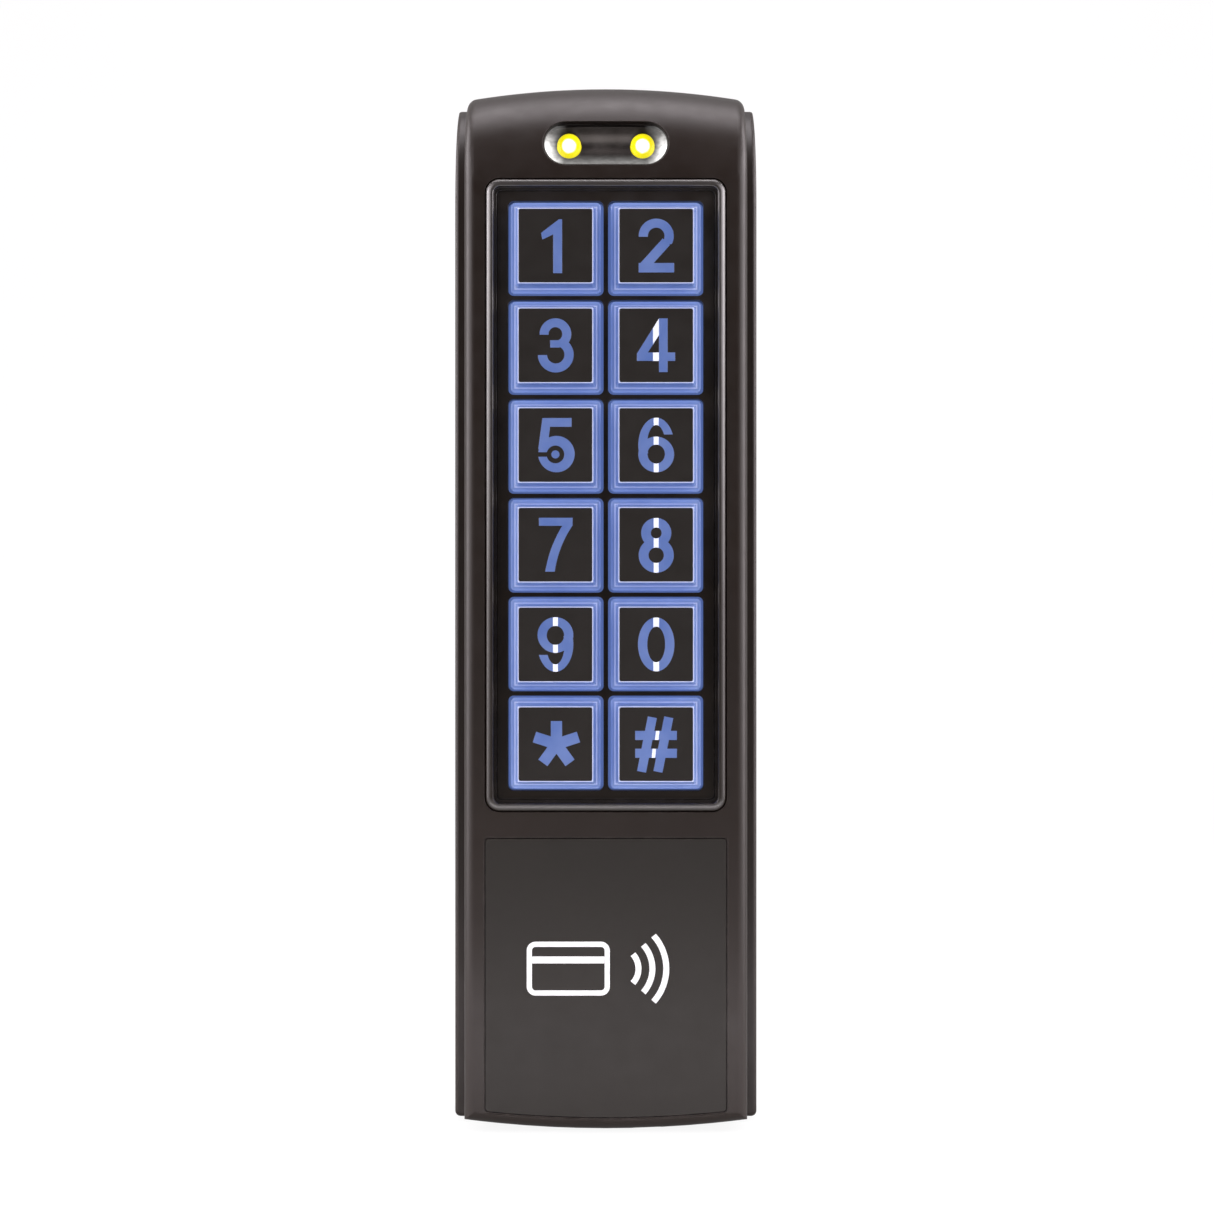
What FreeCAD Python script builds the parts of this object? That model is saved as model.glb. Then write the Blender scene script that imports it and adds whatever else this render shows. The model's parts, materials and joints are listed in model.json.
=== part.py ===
import FreeCAD, Part
import math
import os

# Wall-mounted access reader with a twelve-key pad, in millimetres.
# The origin is on the wall, midway between the two fixing holes: the wall is the plane Y = 0, the front
# faces -Y and +Z is up.
# Two shells make the case: a base tray that screws to the wall, and a front cover that hooks over a bar
# at the tray's top, swings shut and is held by a screw at the bottom. Everything else rides in the cover.

V = FreeCAD.Vector

# ---- driving dimensions -------------------------------------------------------------------------------
COVER_TOP = 75.8            # just under 6.0 in overall height
BOTTOM = -76.2
WING_HALF = 22.2            # half the width of the base tray, 1.75 in overall
SPINE_HALF = 20.4           # half the width of the front cover
FRONT_Y = -22.5             # flat front of the cover
SLIP = 0.1                  # clearance between shells and other plain neighbours
OVER = 1.0                  # how far a cutting shape reaches past what it cuts
NEAR = 1e-4                 # tolerance for picking edges by their place

# Front cover
TOP_ARCH_DROP = 1.7         # how much lower the top is at the cover's sides than at its centre
BOTTOM_ARCH_DROP = 1.45
ARCH_R = (SPINE_HALF ** 2 + TOP_ARCH_DROP ** 2) / (2 * TOP_ARCH_DROP)
BROW_R = 14.0               # the front rolls back towards the wall at the top with this radius
SIDE_WALL = 1.8
FRONT_WALL = 2.0
EDGE_R = 1.5                # rounded edge round the front
SEAM_W = 0.14               # ledge round the label's seat
SEAM_DEPTH = 0.12
COVER_BACK = -3.4

# Base tray
PLATE = 2.0                 # thickness of the plate against the wall
TRAY_WALL = WING_HALF - SPINE_HALF - SLIP
WING_FRONT = -13.0
WING_TOP = 73.75
WING_SWEEP_Z = 58.0         # the wings curve back towards the wall above this height
WING_TIP = -2.5
BASE_ARCH_DROP = 0.2
BASE_CORNER_R = 0.8
FLOOR_Z = -74.4             # inside face of the tray's bottom wall
GASKET_W = 1.6
GASKET_TOP = 69.0           # clear of the cover's corners as they swing past the hinge

# Hook hinge along X at the top of the tray
HINGE_Y = -4.8
HINGE_Z = 73.2
BAR_R = 1.0
HOOK_BORE_R = 1.08
BARREL_R = COVER_TOP - HINGE_Z
BAR_HALF = 13.0
GUSSET_W = 1.4
HOOK_SPAN = (4.5, 10.5)     # where each hook starts and ends, from the middle

# Keypad
KEY_PITCH_X = 14.4
KEY_PITCH_Z = 14.25
FIRST_ROW_Z = 50.65
KEY_W = 13.0
KEY_H = 13.15
PANEL_Y = -21.7             # face of the bezel between the keys
FLANGE_Y = -22.0            # face of a key's low border
KEY_TOP_Y = -25.0
CAP_SIZE = 10.45
CAP_THICK = 0.5
GLYPH_BACK = KEY_TOP_Y + CAP_THICK
BRIDGE_STEP = 0.06          # how far a stencil bridge lies below the cap's face
BEZEL_HALF = 17.3
BEZEL_TOP = 60.6
BEZEL_BOTTOM = -30.4
BEAD_W = 1.15
BEAD_TOP_Y = -23.1
BEAD_OUT_R = 0.95           # the bead slopes broadly outwards and breaks sharply inwards
BEAD_IN_R = 0.18
SEAT_Y = -20.9              # floor of the bezel's seat in the cover
PANEL_HALF = 15.6
PANEL_INSET = 1.7           # from the bezel's top and bottom to the panel's
OPENING_W = 13.74
OPENING_H = 13.64
LATTICE_BACK_Y = -19.4
LIP_BACK_Y = -18.5
PILL_R = 1.5
PILL_Y = -15.75
DOME_TOP_Y = LIP_BACK_Y + SLIP
LAMP_DROP = 5.5             # how far each key's lamp is below its centre
KEY_ROWS = (("1", "2"), ("3", "4"), ("5", "6"), ("7", "8"), ("9", "0"), ("star", "hash"))

# Status lights
WELL_Z = 66.1
WELL_W = 17.8
WELL_H = 6.2
LED_X = 5.34
LED_R = 1.75
LED_TIP_Y = -19.3
TROUGH_Y = -18.5            # front of the bright trough behind the well
TROUGH_BACK_Y = -15.4
TROUGH_DEPTH = 1.5

# Label
LABEL_TOP = -34.35
LABEL_SIDE_BOTTOM = -73.5
LABEL_MID_BOTTOM = -74.4
LABEL_THICK = 0.6

# Circuit board
PCB_FRONT = -14.2
PCB_BACK = -12.6
PCB_HALF = 17.8
PCB_TOP = 69.0
PCB_BOTTOM = -71.0
BOSS_PLACES = ((14.6, 64.0), (15.4, -33.6), (15.4, -67.0))
BOSS_R = 2.2
PILOT_R = 1.02
BOARD_HOLE_R = 1.25
BOARD_SCREW_R = 1.0
BOARD_SCREW_HEAD_R = 2.0
TERMINALS = 8
TERMINAL_PITCH = 3.5
TERMINAL_Z = -19.0
TERMINAL_SCREW_Z = -19.6
TERMINAL_DEPTH = 7.0
TERMINAL_HEIGHT = 8.0
LEG = 0.9                   # how far a chip's legs reach past its body
LEG_W = 0.26
LEG_T = 0.22

# Reader coil behind the label
COIL_HALF = 15.9
COIL_TOP = -38.1
COIL_BOTTOM = -63.5
COIL_WIDTH = 2.25
FORMER_Y = -20.4

# Wall fixings and cable
WALL_HOLE_SPACING = 83.3    # single-gang box screws
WALL_HOLE_R = 2.1
WALL_PAD_R = 4.6
PAD_RISE = 0.8              # how far pads and ribs stand off the tray's floor
CABLE_PLATE_R = 6.0
CABLE_R = 4.5
CABLE_FLANGE_R = 8.0

# Lock screw and tamper plunger
LOCK_Y = -8.0
LOCK_R = 1.5
LOCK_ACCESS_R = 1.8
INSERT_R = 2.28
TAMPER_X = -11.0
TAMPER_Z = 26.0
TAMPER_STEM_R = 1.4
TAMPER_HALF = 3.2
TAMPER_THICK = 3.6
COLLAR_Y = -5.6
COLLAR_R = 2.7
SPRING_R = 2.1
WIRE_R = 0.2
SPRING_TURNS = 4


# ---- small builders -----------------------------------------------------------------------------------
def box(x0, x1, y0, y1, z0, z1):
    return Part.makeBox(x1 - x0, y1 - y0, z1 - z0, V(x0, y0, z0))


def rod_y(x, z, r, y0, y1):
    return Part.makeCylinder(r, y1 - y0, V(x, y0, z), V(0, 1, 0))


def rod_x(y, z, r, x0, x1):
    return Part.makeCylinder(r, x1 - x0, V(x0, y, z), V(1, 0, 0))


def rod_z(x, y, r, z0, z1):
    return Part.makeCylinder(r, z1 - z0, V(x, y, z0), V(0, 0, 1))


def cone_y(x, z, r0, r1, y0, y1):
    return Part.makeCone(r0, r1, y1 - y0, V(x, y0, z), V(0, 1, 0))


def union(shapes):
    return shapes[0].fuse(shapes[1:]).removeSplitter()


def edges_along(shape, axis):
    """Straight edges parallel to a direction."""
    found = []
    for edge in shape.Edges:
        if isinstance(edge.Curve, Part.Line):
            direction = edge.tangentAt(edge.FirstParameter)
            if abs(abs(direction.dot(axis)) - 1) < NEAR:
                found.append(edge)
    return found


def crest_edges(shape, y):
    """The edges that lie in the plane Y = y."""
    return [e for e in shape.Edges if e.BoundBox.YLength < NEAR and abs(e.BoundBox.YMin - y) < NEAR]


def slab(x0, x1, z0, z1, y0, y1, r):
    """A plate facing the wall, with its four corners rounded."""
    plate = box(x0, x1, y0, y1, z0, z1)
    return plate.makeFillet(r, edges_along(plate, V(0, 1, 0)))


def outline_xz(y, parts):
    """A closed face in the plane Y = y. Each part is two points for a line or three for an arc."""
    edges = []
    for points in parts:
        places = [V(x, y, z) for x, z in points]
        if len(places) == 2:
            edges.append(Part.makeLine(places[0], places[1]))
        else:
            edges.append(Part.Arc(places[0], places[1], places[2]).toShape())
    return Part.Face(Part.Wire(edges))


def outline_yz(x, parts):
    """A closed face in the plane X = x. Each part is two points for a line or three for an arc."""
    edges = []
    for points in parts:
        places = [V(x, y, z) for y, z in points]
        if len(places) == 2:
            edges.append(Part.makeLine(places[0], places[1]))
        else:
            edges.append(Part.Arc(places[0], places[1], places[2]).toShape())
    return Part.Face(Part.Wire(edges))


def pill_face(width, height, y, z):
    """A flat stadium shape in the plane Y = y."""
    r = height / 2
    flat = width / 2 - r
    return outline_xz(y, (
        ((-flat, z - r), (flat, z - r)),
        ((flat, z - r), (width / 2, z), (flat, z + r)),
        ((flat, z + r), (-flat, z + r)),
        ((-flat, z + r), (-width / 2, z), (-flat, z - r)),
    ))


def pill(width, height, y0, y1, z):
    return pill_face(width, height, y0, z).extrude(V(0, y1 - y0, 0))


def tapered_square(size0, size1, y0, y1, r):
    """A square block whose sides lean in, from size0 at y0 to size1 at y1."""
    sections = []
    for (w, h), y in ((size0, y0), (size1, y1)):
        layer = slab(-w / 2, w / 2, -h / 2, h / 2, y - 1, y, r)
        face = max((f for f in layer.Faces if abs(f.CenterOfMass.y - y) < NEAR), key=lambda f: f.Area)
        sections.append(face.OuterWire)
    return Part.makeLoft(sections, True, True)


# ---- cover and tray shells ----------------------------------------------------------------------------
def spine(inset, half, bottom, back):
    """The cover's outside when inset is 0, and its hollow when inset is the wall.

    The brow and the top are turned about an axis along Y far below, so the top is a shallow arch."""
    front = FRONT_Y + inset
    top = COVER_TOP - inset
    brow_y = FRONT_Y + BROW_R
    brow_z = COVER_TOP - BROW_R
    r = BROW_R - inset
    diagonal = r * math.sqrt(0.5)
    low = 30.0
    rolled_back = HINGE_Y + BARREL_R * math.sqrt(0.5)
    rolled_up = HINGE_Z + BARREL_R * math.sqrt(0.5)
    if inset:
        end = (((brow_y, top), (back, top)), ((back, top), (back, low)))
    else:
        end = (
            ((brow_y, top), (HINGE_Y, top)),
            ((HINGE_Y, top), (rolled_back, rolled_up), (HINGE_Y + BARREL_R, HINGE_Z)),
            ((HINGE_Y + BARREL_R, HINGE_Z), (HINGE_Y + BARREL_R, HINGE_Z - 1)),
            ((HINGE_Y + BARREL_R, HINGE_Z - 1), (back, HINGE_Z - 1)),
            ((back, HINGE_Z - 1), (back, low)),
        )
    profile = outline_yz(0, (
        ((front, low), (front, brow_z)),
        ((front, brow_z), (brow_y - diagonal, brow_z + diagonal), (brow_y, top)),
    ) + end + (((back, low), (front, low)),))
    turn_centre = V(0, 0, COVER_TOP - ARCH_R)
    turned = profile.revolve(turn_centre, V(0, 1, 0), 40)
    turned.rotate(turn_centre, V(0, 1, 0), -20)
    turned = turned.common(box(-half, half, front - OVER, OVER, 0, COVER_TOP + OVER))
    straight = box(-half, half, front, back, bottom, low + 5)
    return union([turned, straight])


def cover_outside():
    whole = spine(0, SPINE_HALF, BOTTOM, COVER_BACK)
    side = BOTTOM + BOTTOM_ARCH_DROP
    wide = SPINE_HALF + OVER
    high = COVER_TOP + OVER
    arch = outline_xz(FRONT_Y - OVER, (
        ((-wide, side), (0, BOTTOM), (wide, side)),
        ((wide, side), (wide, high)),
        ((wide, high), (-wide, high)),
        ((-wide, high), (-wide, side)),
    )).extrude(V(0, OVER - FRONT_Y, 0))
    whole = whole.common(arch)
    # the back of the cover nests inside the tray, so its bottom steps up over the tray's bottom wall
    step = box(-wide, wide, WING_FRONT - SLIP, OVER, BOTTOM - OVER, FLOOR_Z + SLIP)
    return whole.cut(step)


def front_rim_edges(shape):
    """The edges between the front or brow and the cover's sides and bottom."""
    found = []
    brow_low = COVER_TOP - BROW_R - 3
    for edge in shape.Edges:
        middle = edge.valueAt((edge.FirstParameter + edge.LastParameter) / 2)
        xs = [abs(vertex.X) for vertex in edge.Vertexes] + [abs(middle.x)]
        on_side = all(abs(x - SPINE_HALF) < NEAR for x in xs)
        on_front = abs(middle.y - FRONT_Y) < NEAR and (on_side or middle.z < 0)
        high_side = on_side and middle.z > brow_low
        on_brow = high_side and FRONT_Y < middle.y < FRONT_Y + BROW_R and edge.Length > 3
        on_top = high_side and FRONT_Y + BROW_R < middle.y < HINGE_Y
        if on_front or on_brow or on_top:
            found.append(edge)
    return found


def bosses():
    return [(s * x, z) for x, z in BOSS_PLACES for s in (-1, 1)]


def front_cover():
    outside = cover_outside()
    outside = outside.makeFillet(EDGE_R, front_rim_edges(outside))
    hollow = spine(FRONT_WALL, SPINE_HALF - SIDE_WALL, FLOOR_Z + SIDE_WALL, 1)
    collar = pill(WELL_W + 2.6, WELL_H + 2.6, FRONT_Y, TROUGH_Y - SLIP, WELL_Z)
    collar = collar.common(spine(0.5, 19, -60, 1))
    posts = [rod_y(x, z, BOSS_R, FRONT_Y + 1, PCB_FRONT) for x, z in bosses()]
    posts = [p.common(spine(0.5, SPINE_HALF - 0.5, -75, 1)) for p in posts]
    lock_block = box(-4, 4, -12.0, COVER_BACK, FLOOR_Z + SLIP, -67.5)
    hooks = []
    for side in (-1, 1):
        x0, x1 = sorted((side * HOOK_SPAN[0], side * HOOK_SPAN[1]))
        hook = rod_x(HINGE_Y, HINGE_Z, BARREL_R - 0.02, x0, x1)
        hooks.append(hook.cut(box(-30, 30, -12, 0, 60, HINGE_Z - 0.55)))
    shell = union([outside.cut(hollow), collar] + posts + [lock_block] + hooks)
    # room for the tray's bar, and notches for the gussets that carry it
    cuts = [rod_x(HINGE_Y, HINGE_Z, HOOK_BORE_R, -BAR_HALF - 0.3, BAR_HALF + 0.3)]
    for x0, x1 in gusset_spans(0.3):
        cuts.append(box(x0, x1, HINGE_Y, 0, HINGE_Z - 4, COVER_TOP + OVER))
    # status light well, wider at the front
    well = Part.makeLoft([pill_face(WELL_W + 1.1, WELL_H + 1.1, FRONT_Y - 0.6, WELL_Z).OuterWire,
                          pill_face(WELL_W, WELL_H, FRONT_Y + 2.0, WELL_Z).OuterWire], True, True)
    cuts.append(well)
    cuts.append(pill(WELL_W, WELL_H, FRONT_Y + 1.9, TROUGH_Y + 0.5, WELL_Z))
    # seat and window for the keypad bezel
    half = BEZEL_HALF + SLIP
    cuts.append(slab(-half, half, BEZEL_BOTTOM - SLIP, BEZEL_TOP + SLIP, FRONT_Y - OVER, SEAT_Y, 2.1))
    half = BEZEL_HALF - 0.9
    cuts.append(box(-half, half, SEAT_Y - SLIP, LIP_BACK_Y + 0.5, BEZEL_BOTTOM + 0.9, BEZEL_TOP - 0.9))
    # seat for the label
    cuts.append(label_plate(SLIP, FRONT_Y - OVER, FRONT_Y + LABEL_THICK + 0.02))
    cuts.append(label_plate(SLIP + SEAM_W, FRONT_Y - OVER, FRONT_Y + SEAM_DEPTH))
    # lock screw passage and pilot holes in the posts
    cuts.append(rod_z(0, LOCK_Y, 2.3, FLOOR_Z - 1, -66))
    for x, z in bosses():
        cuts.append(rod_y(x, z, PILOT_R, PCB_FRONT - 4.5, PCB_FRONT + OVER))
    return shell.cut(cuts)


def gusset_spans(extra):
    """X ranges of the gussets under the hinge bar, each widened by extra."""
    outer = (BAR_HALF - GUSSET_W, BAR_HALF)
    spans = ((-1.5, 1.5), (-outer[1], -outer[0]), outer)
    return [(x0 - extra, x1 + extra) for x0, x1 in spans]


def base_housing():
    low = BOTTOM - OVER
    corner = BOTTOM + BASE_ARCH_DROP
    outline = outline_xz(WING_FRONT, (
        ((-WING_HALF, corner), (0, BOTTOM), (WING_HALF, corner)),
        ((WING_HALF, corner), (WING_HALF, WING_TOP)),
        ((WING_HALF, WING_TOP), (-WING_HALF, WING_TOP)),
        ((-WING_HALF, WING_TOP), (-WING_HALF, corner)),
    )).extrude(V(0, -WING_FRONT, 0))
    lower_corners = [e for e in edges_along(outline, V(0, 1, 0)) if e.Vertexes[0].Z < 0]
    outline = outline.makeFillet(BASE_CORNER_R, lower_corners)
    # side view: straight front, then an arc that sweeps back towards the wall
    rise = WING_TOP - WING_SWEEP_Z
    run = WING_TIP - WING_FRONT
    r = (rise ** 2 + run ** 2) / (2 * run)
    half_rise = rise / 2
    sweep_mid = (WING_FRONT + r - math.sqrt(r * r - half_rise ** 2), WING_SWEEP_Z + half_rise)
    side = outline_yz(-WING_HALF - 1, (
        ((0, low), (0, WING_TOP + OVER)),
        ((0, WING_TOP + OVER), (WING_TIP, WING_TOP + OVER)),
        ((WING_TIP, WING_TOP + OVER), (WING_TIP, WING_TOP)),
        ((WING_TIP, WING_TOP), sweep_mid, (WING_FRONT, WING_SWEEP_Z)),
        ((WING_FRONT, WING_SWEEP_Z), (WING_FRONT, low)),
        ((WING_FRONT, low), (0, low)),
    )).extrude(V(2 * WING_HALF + 2, 0, 0))
    shell = outline.common(side)
    rim = []
    for edge in shell.Edges:
        middle = edge.valueAt((edge.FirstParameter + edge.LastParameter) / 2)
        if abs(abs(middle.x) - WING_HALF) < NEAR and middle.y < WING_TIP - SLIP and edge.Length > 5:
            rim.append(edge)
    shell = shell.makeFillet(0.6, rim)
    inner = SPINE_HALF + SLIP
    tray = shell.cut(box(-inner, inner, WING_FRONT - OVER, -PLATE, FLOOR_Z, WING_TOP + OVER))
    # tongue of the plate that closes the cover's top from behind
    tongue = rod_y(0, COVER_TOP - ARCH_R, ARCH_R - SLIP, -PLATE, 0)
    tongue = tongue.common(box(-SPINE_HALF + SLIP, SPINE_HALF - SLIP, -PLATE, 0, 60, COVER_TOP))
    hinge_bar = rod_x(HINGE_Y, HINGE_Z, BAR_R, -BAR_HALF, BAR_HALF)
    gussets = [box(x0, x1, HINGE_Y, -PLATE, HINGE_Z - 0.6, HINGE_Z + 0.6) for x0, x1 in gusset_spans(0)]
    pad_y = -PLATE - PAD_RISE
    pads = [rod_y(0, s * WALL_HOLE_SPACING / 2, WALL_PAD_R, pad_y, -PLATE) for s in (-1, 1)]
    tamper_pad = rod_y(TAMPER_X, TAMPER_Z, 3.0, -2 * PLATE, -PLATE)
    cable_ring = rod_y(0, 0, CABLE_PLATE_R + 1.2, pad_y, -PLATE)
    ribs = [box(s * 13.0 - 0.6, s * 13.0 + 0.6, pad_y, -PLATE, -62, 10) for s in (-1, 1)]
    tray = union([tray, tongue, hinge_bar, tamper_pad, cable_ring] + gussets + pads + ribs)
    cuts = [rod_y(0, s * WALL_HOLE_SPACING / 2, WALL_HOLE_R, -6, 1) for s in (-1, 1)]
    cuts.append(rod_y(0, 0, CABLE_PLATE_R, -6, 1))
    cuts.append(rod_z(0, LOCK_Y, LOCK_ACCESS_R, low, FLOOR_Z + OVER))
    return tray.cut(cuts)


def base_gasket():
    """Rubber ring on the tray's floor, under the cover's back edge."""
    half = SPINE_HALF - SLIP
    low = FLOOR_Z + 0.2
    outer = slab(-half, half, low, GASKET_TOP, COVER_BACK + 0.05, -PLATE, 1.0)
    inside = half - GASKET_W
    inner = slab(-inside, inside, low + GASKET_W, GASKET_TOP - GASKET_W, COVER_BACK - OVER, 0, 0.8)
    return outer.cut(inner)


def cable_grommet():
    ring_y = -PLATE - PAD_RISE
    sleeve = rod_y(0, 0, CABLE_PLATE_R - 0.02, ring_y, -0.2)
    flange = rod_y(0, 0, CABLE_FLANGE_R, ring_y - 1.4, ring_y)
    flange = flange.makeFillet(0.5, [e for e in flange.Edges if e.Vertexes[0].Y < -PLATE - 2])
    return union([sleeve, flange]).cut(rod_y(0, 0, CABLE_R, -10, 1))


# ---- keypad -------------------------------------------------------------------------------------------
def key_places():
    """Name and centre (x, z) of each of the twelve keys."""
    places = []
    for row, names in enumerate(KEY_ROWS):
        for column, name in enumerate(names):
            places.append((name, (column - 0.5) * KEY_PITCH_X, FIRST_ROW_Z - row * KEY_PITCH_Z))
    return places


def keypad_bezel():
    """Raised bead round a lattice that the keys come through."""
    rim_back = SEAT_Y - 0.05
    rim = slab(-BEZEL_HALF, BEZEL_HALF, BEZEL_BOTTOM, BEZEL_TOP, BEAD_TOP_Y, rim_back, 2.0)
    rim = rim.makeFillet(BEAD_OUT_R, crest_edges(rim, BEAD_TOP_Y))
    inside = BEZEL_HALF - BEAD_W
    hole = slab(-inside, inside, BEZEL_BOTTOM + BEAD_W, BEZEL_TOP - BEAD_W, BEAD_TOP_Y - OVER, PANEL_Y, 1.0)
    rim = rim.cut(hole)
    inner_crest = [e for e in crest_edges(rim, BEAD_TOP_Y)
                   if e.BoundBox.XMax < inside + NEAR and e.BoundBox.XMin > -inside - NEAR
                   and e.BoundBox.ZMax < BEZEL_TOP - BEAD_W + NEAR
                   and e.BoundBox.ZMin > BEZEL_BOTTOM + BEAD_W - NEAR]
    rim = rim.makeFillet(BEAD_IN_R, inner_crest)
    # a shallow step just inside the bead
    low = BEZEL_BOTTOM + PANEL_INSET
    high = BEZEL_TOP - PANEL_INSET
    half = PANEL_HALF + 0.15
    groove = slab(-half, half, low - 0.15, high + 0.15, PANEL_Y - OVER, PANEL_Y + 0.18, 0.8)
    panel = slab(-PANEL_HALF, PANEL_HALF, low, high, PANEL_Y, PANEL_Y + 0.5, 0.7)
    half = BEZEL_HALF - 1.0
    lattice = box(-half, half, rim_back, LATTICE_BACK_Y, BEZEL_BOTTOM + 1.0, BEZEL_TOP - 1.0)
    body = union([rim.cut(groove), panel, lattice])
    openings = []
    wide = OPENING_W / 2
    tall = OPENING_H / 2
    for _, x, z in key_places():
        openings.append(slab(x - wide, x + wide, z - tall, z + tall, BEAD_TOP_Y, LATTICE_BACK_Y + OVER, 0.8))
    return body.cut(openings)


def key_blank():
    """One translucent key: lip, skirt, low border, leaning wall and a shallow seat for the dark cap."""
    lip_wide = OPENING_W / 2 + 0.15
    lip_tall = OPENING_H / 2 + 0.13
    lip_y = LATTICE_BACK_Y + SLIP
    lip = box(-lip_wide, lip_wide, lip_y, LIP_BACK_Y, -lip_tall, lip_tall)
    skirt = slab(-KEY_W / 2, KEY_W / 2, -KEY_H / 2, KEY_H / 2, FLANGE_Y, lip_y, 0.7)
    skirt = skirt.makeFillet(0.25, crest_edges(skirt, FLANGE_Y))
    wall = tapered_square((10.98, 11.05), (11.75, 11.85), KEY_TOP_Y, FLANGE_Y + 0.2, 0.5)
    wall = wall.makeFillet(0.12, crest_edges(wall, KEY_TOP_Y))
    seat_half = CAP_SIZE / 2 + 0.05
    seat = slab(-seat_half, seat_half, -seat_half, seat_half, KEY_TOP_Y - OVER, GLYPH_BACK, 0.3)
    hollow = slab(-4.6, 4.6, -4.6, 4.6, GLYPH_BACK + 1.1, LIP_BACK_Y + OVER, 0.5)
    post = rod_y(0, 0, 1.7, GLYPH_BACK + 1.0, LIP_BACK_Y)
    return union([union([lip, skirt, wall]).cut([seat, hollow]), post])


def flat(parts):
    """A flat piece of a character, as thick as the cap."""
    return outline_xz(KEY_TOP_Y, parts).extrude(V(0, CAP_THICK, 0))


def polygon(*points):
    closed = list(points) + [points[0]]
    return flat([(closed[i], closed[i + 1]) for i in range(len(points))])


def stroke(x0, z0, x1, z1, width):
    """A straight stroke between two points, with square ends."""
    length = math.hypot(x1 - x0, z1 - z0)
    nx = -(z1 - z0) / length * width / 2
    nz = (x1 - x0) / length * width / 2
    return polygon((x0 + nx, z0 + nz), (x1 + nx, z1 + nz), (x1 - nx, z1 - nz), (x0 - nx, z0 - nz))


def patch(x0, x1, z0, z1):
    return box(x0, x1, KEY_TOP_Y, GLYPH_BACK, z0, z1)


def disc(x, z, r):
    return rod_y(x, z, r, KEY_TOP_Y, GLYPH_BACK)


def oval(x, z, half_w, half_h):
    """An upright ellipse, as thick as the cap."""
    ellipse = Part.Ellipse(V(x, KEY_TOP_Y, z + half_h), V(x + half_w, KEY_TOP_Y, z), V(x, KEY_TOP_Y, z))
    return Part.Face(Part.Wire([ellipse.toShape()])).extrude(V(0, CAP_THICK, 0))


def six():
    loop = oval(0, 0, 2.55, 3.9).cut(oval(0, 0.1, 1.3, 2.75))
    arm = loop.cut([patch(0, 3, -4, 1.5), patch(-3, 0, -4, -1.2)])
    bowl = oval(0, -1.35, 2.55, 2.55).cut(oval(0, -1.3, 1.25, 1.35))
    return union([arm, bowl])


def seven():
    top = patch(-2.35, 2.45, 2.7, 3.85)
    leg = flat((
        ((2.45, 2.75), (0.75, -0.5), (-0.1, -3.85)),
        ((-0.1, -3.85), (-1.45, -3.85)),
        ((-1.45, -3.85), (-0.5, -0.3), (1.0, 2.75)),
        ((1.0, 2.75), (2.45, 2.75)),
    ))
    return union([top, leg])


def five():
    top = patch(-1.85, 2.3, 2.6, 3.85)
    stem = polygon((-1.85, 3.85), (-0.6, 3.85), (-0.95, 1.2), (-0.6, -0.3), (-2.45, -0.6))
    bowl = disc(0.15, -1.3, 2.6)
    hole = disc(0, -1.35, 1.27)
    slot = patch(-3, 0, -1.68, -1.03)
    return union([union([top, stem, bowl]).cut([hole, slot]), disc(0, -1.35, 0.58)])


def three():
    upper = disc(0, 1.6, 2.25).cut([disc(0, 1.6, 0.98), patch(-3, -0.2, -1, 1.5)])
    lower = disc(0.05, -1.35, 2.55).cut([disc(0.05, -1.35, 1.25), patch(-3, -0.2, -1.4, 2)])
    middle = patch(-0.75, 0.6, -0.33, 0.72)
    return union([upper.cut(disc(0.05, -1.35, 1.25)), lower.cut(disc(0, 1.6, 0.98)), middle])


def two():
    hoop = disc(0, 1.35, 2.5).cut([disc(0, 1.35, 1.2), patch(-3, 0, -2, 1.25), patch(0, 3, -2, 0.2)])
    leg = stroke(1.45, 0.55, -1.75, -3.0, 1.4)
    foot = patch(-2.5, 2.55, -3.85, -2.5)
    return union([hoop, leg, foot])


def star():
    arms = []
    for turn in range(5):
        angle = math.radians(90 + 72 * turn)
        arms.append(stroke(0.15, 0, 0.15 + 3.3 * math.cos(angle), 3.3 * math.sin(angle), 1.6))
    return union(arms)


def hash_mark():
    bars = [stroke(-2.1 + shift, -3.95, -0.55 + shift, 3.85, 1.3) for shift in (0, 2.35)]
    rungs = [patch(-3.0, 2.95, z - 0.65, z + 0.65) for z in (-1.3, 1.25)]
    return union(bars + rungs)


def glyphs():
    """Each character's shape, and the bridges that hold the middle of a closed one."""
    eight = union([disc(0, 1.68, 2.15), disc(0, -1.5, 2.5)]).cut([disc(0, 1.68, 0.78), disc(0, -1.5, 1.1)])
    nine = six()
    nine.rotate(V(0, 0, 0), V(0, 1, 0), 180)
    four = polygon((0.4, 3.84), (1.63, 3.84), (1.63, -1.03), (2.7, -1.03), (2.7, -2.24), (1.63, -2.24),
                   (1.63, -3.84), (0.4, -3.84), (0.4, -2.24), (-2.75, -2.24), (-2.75, -1.2))
    four = four.cut(polygon((0.4, 1.45), (0.4, -1.03), (-1.2, -1.03)))
    one = polygon((0.95, 3.75), (0.5, 3.75), (-2.05, 1.8), (-1.85, 0.85), (-0.32, 1.6), (-0.32, -3.95),
                  (0.95, -3.95))
    zero = oval(0, 0, 2.6, 3.85).cut(oval(0, 0, 1.28, 2.55))
    across = 0.36
    column = patch(-across, across, -4.2, 4.2)
    return {
        "1": (one, []),
        "2": (two(), []),
        "3": (three(), []),
        "4": (four, [patch(-0.46, 0.4, -2.5, 4)]),
        "5": (five(), []),
        "6": (six(), [column]),
        "7": (seven(), []),
        "8": (eight, [column]),
        "9": (nine, [column]),
        "0": (zero, [patch(-0.42, 0.42, -4.2, 4.2)]),
        "star": (star(), []),
        "hash": (hash_mark(), [stroke(-0.42, -2.1, -0.26, -0.6, 0.5), stroke(0.06, 0.5, 0.24, 2.1, 0.5)]),
    }


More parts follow.
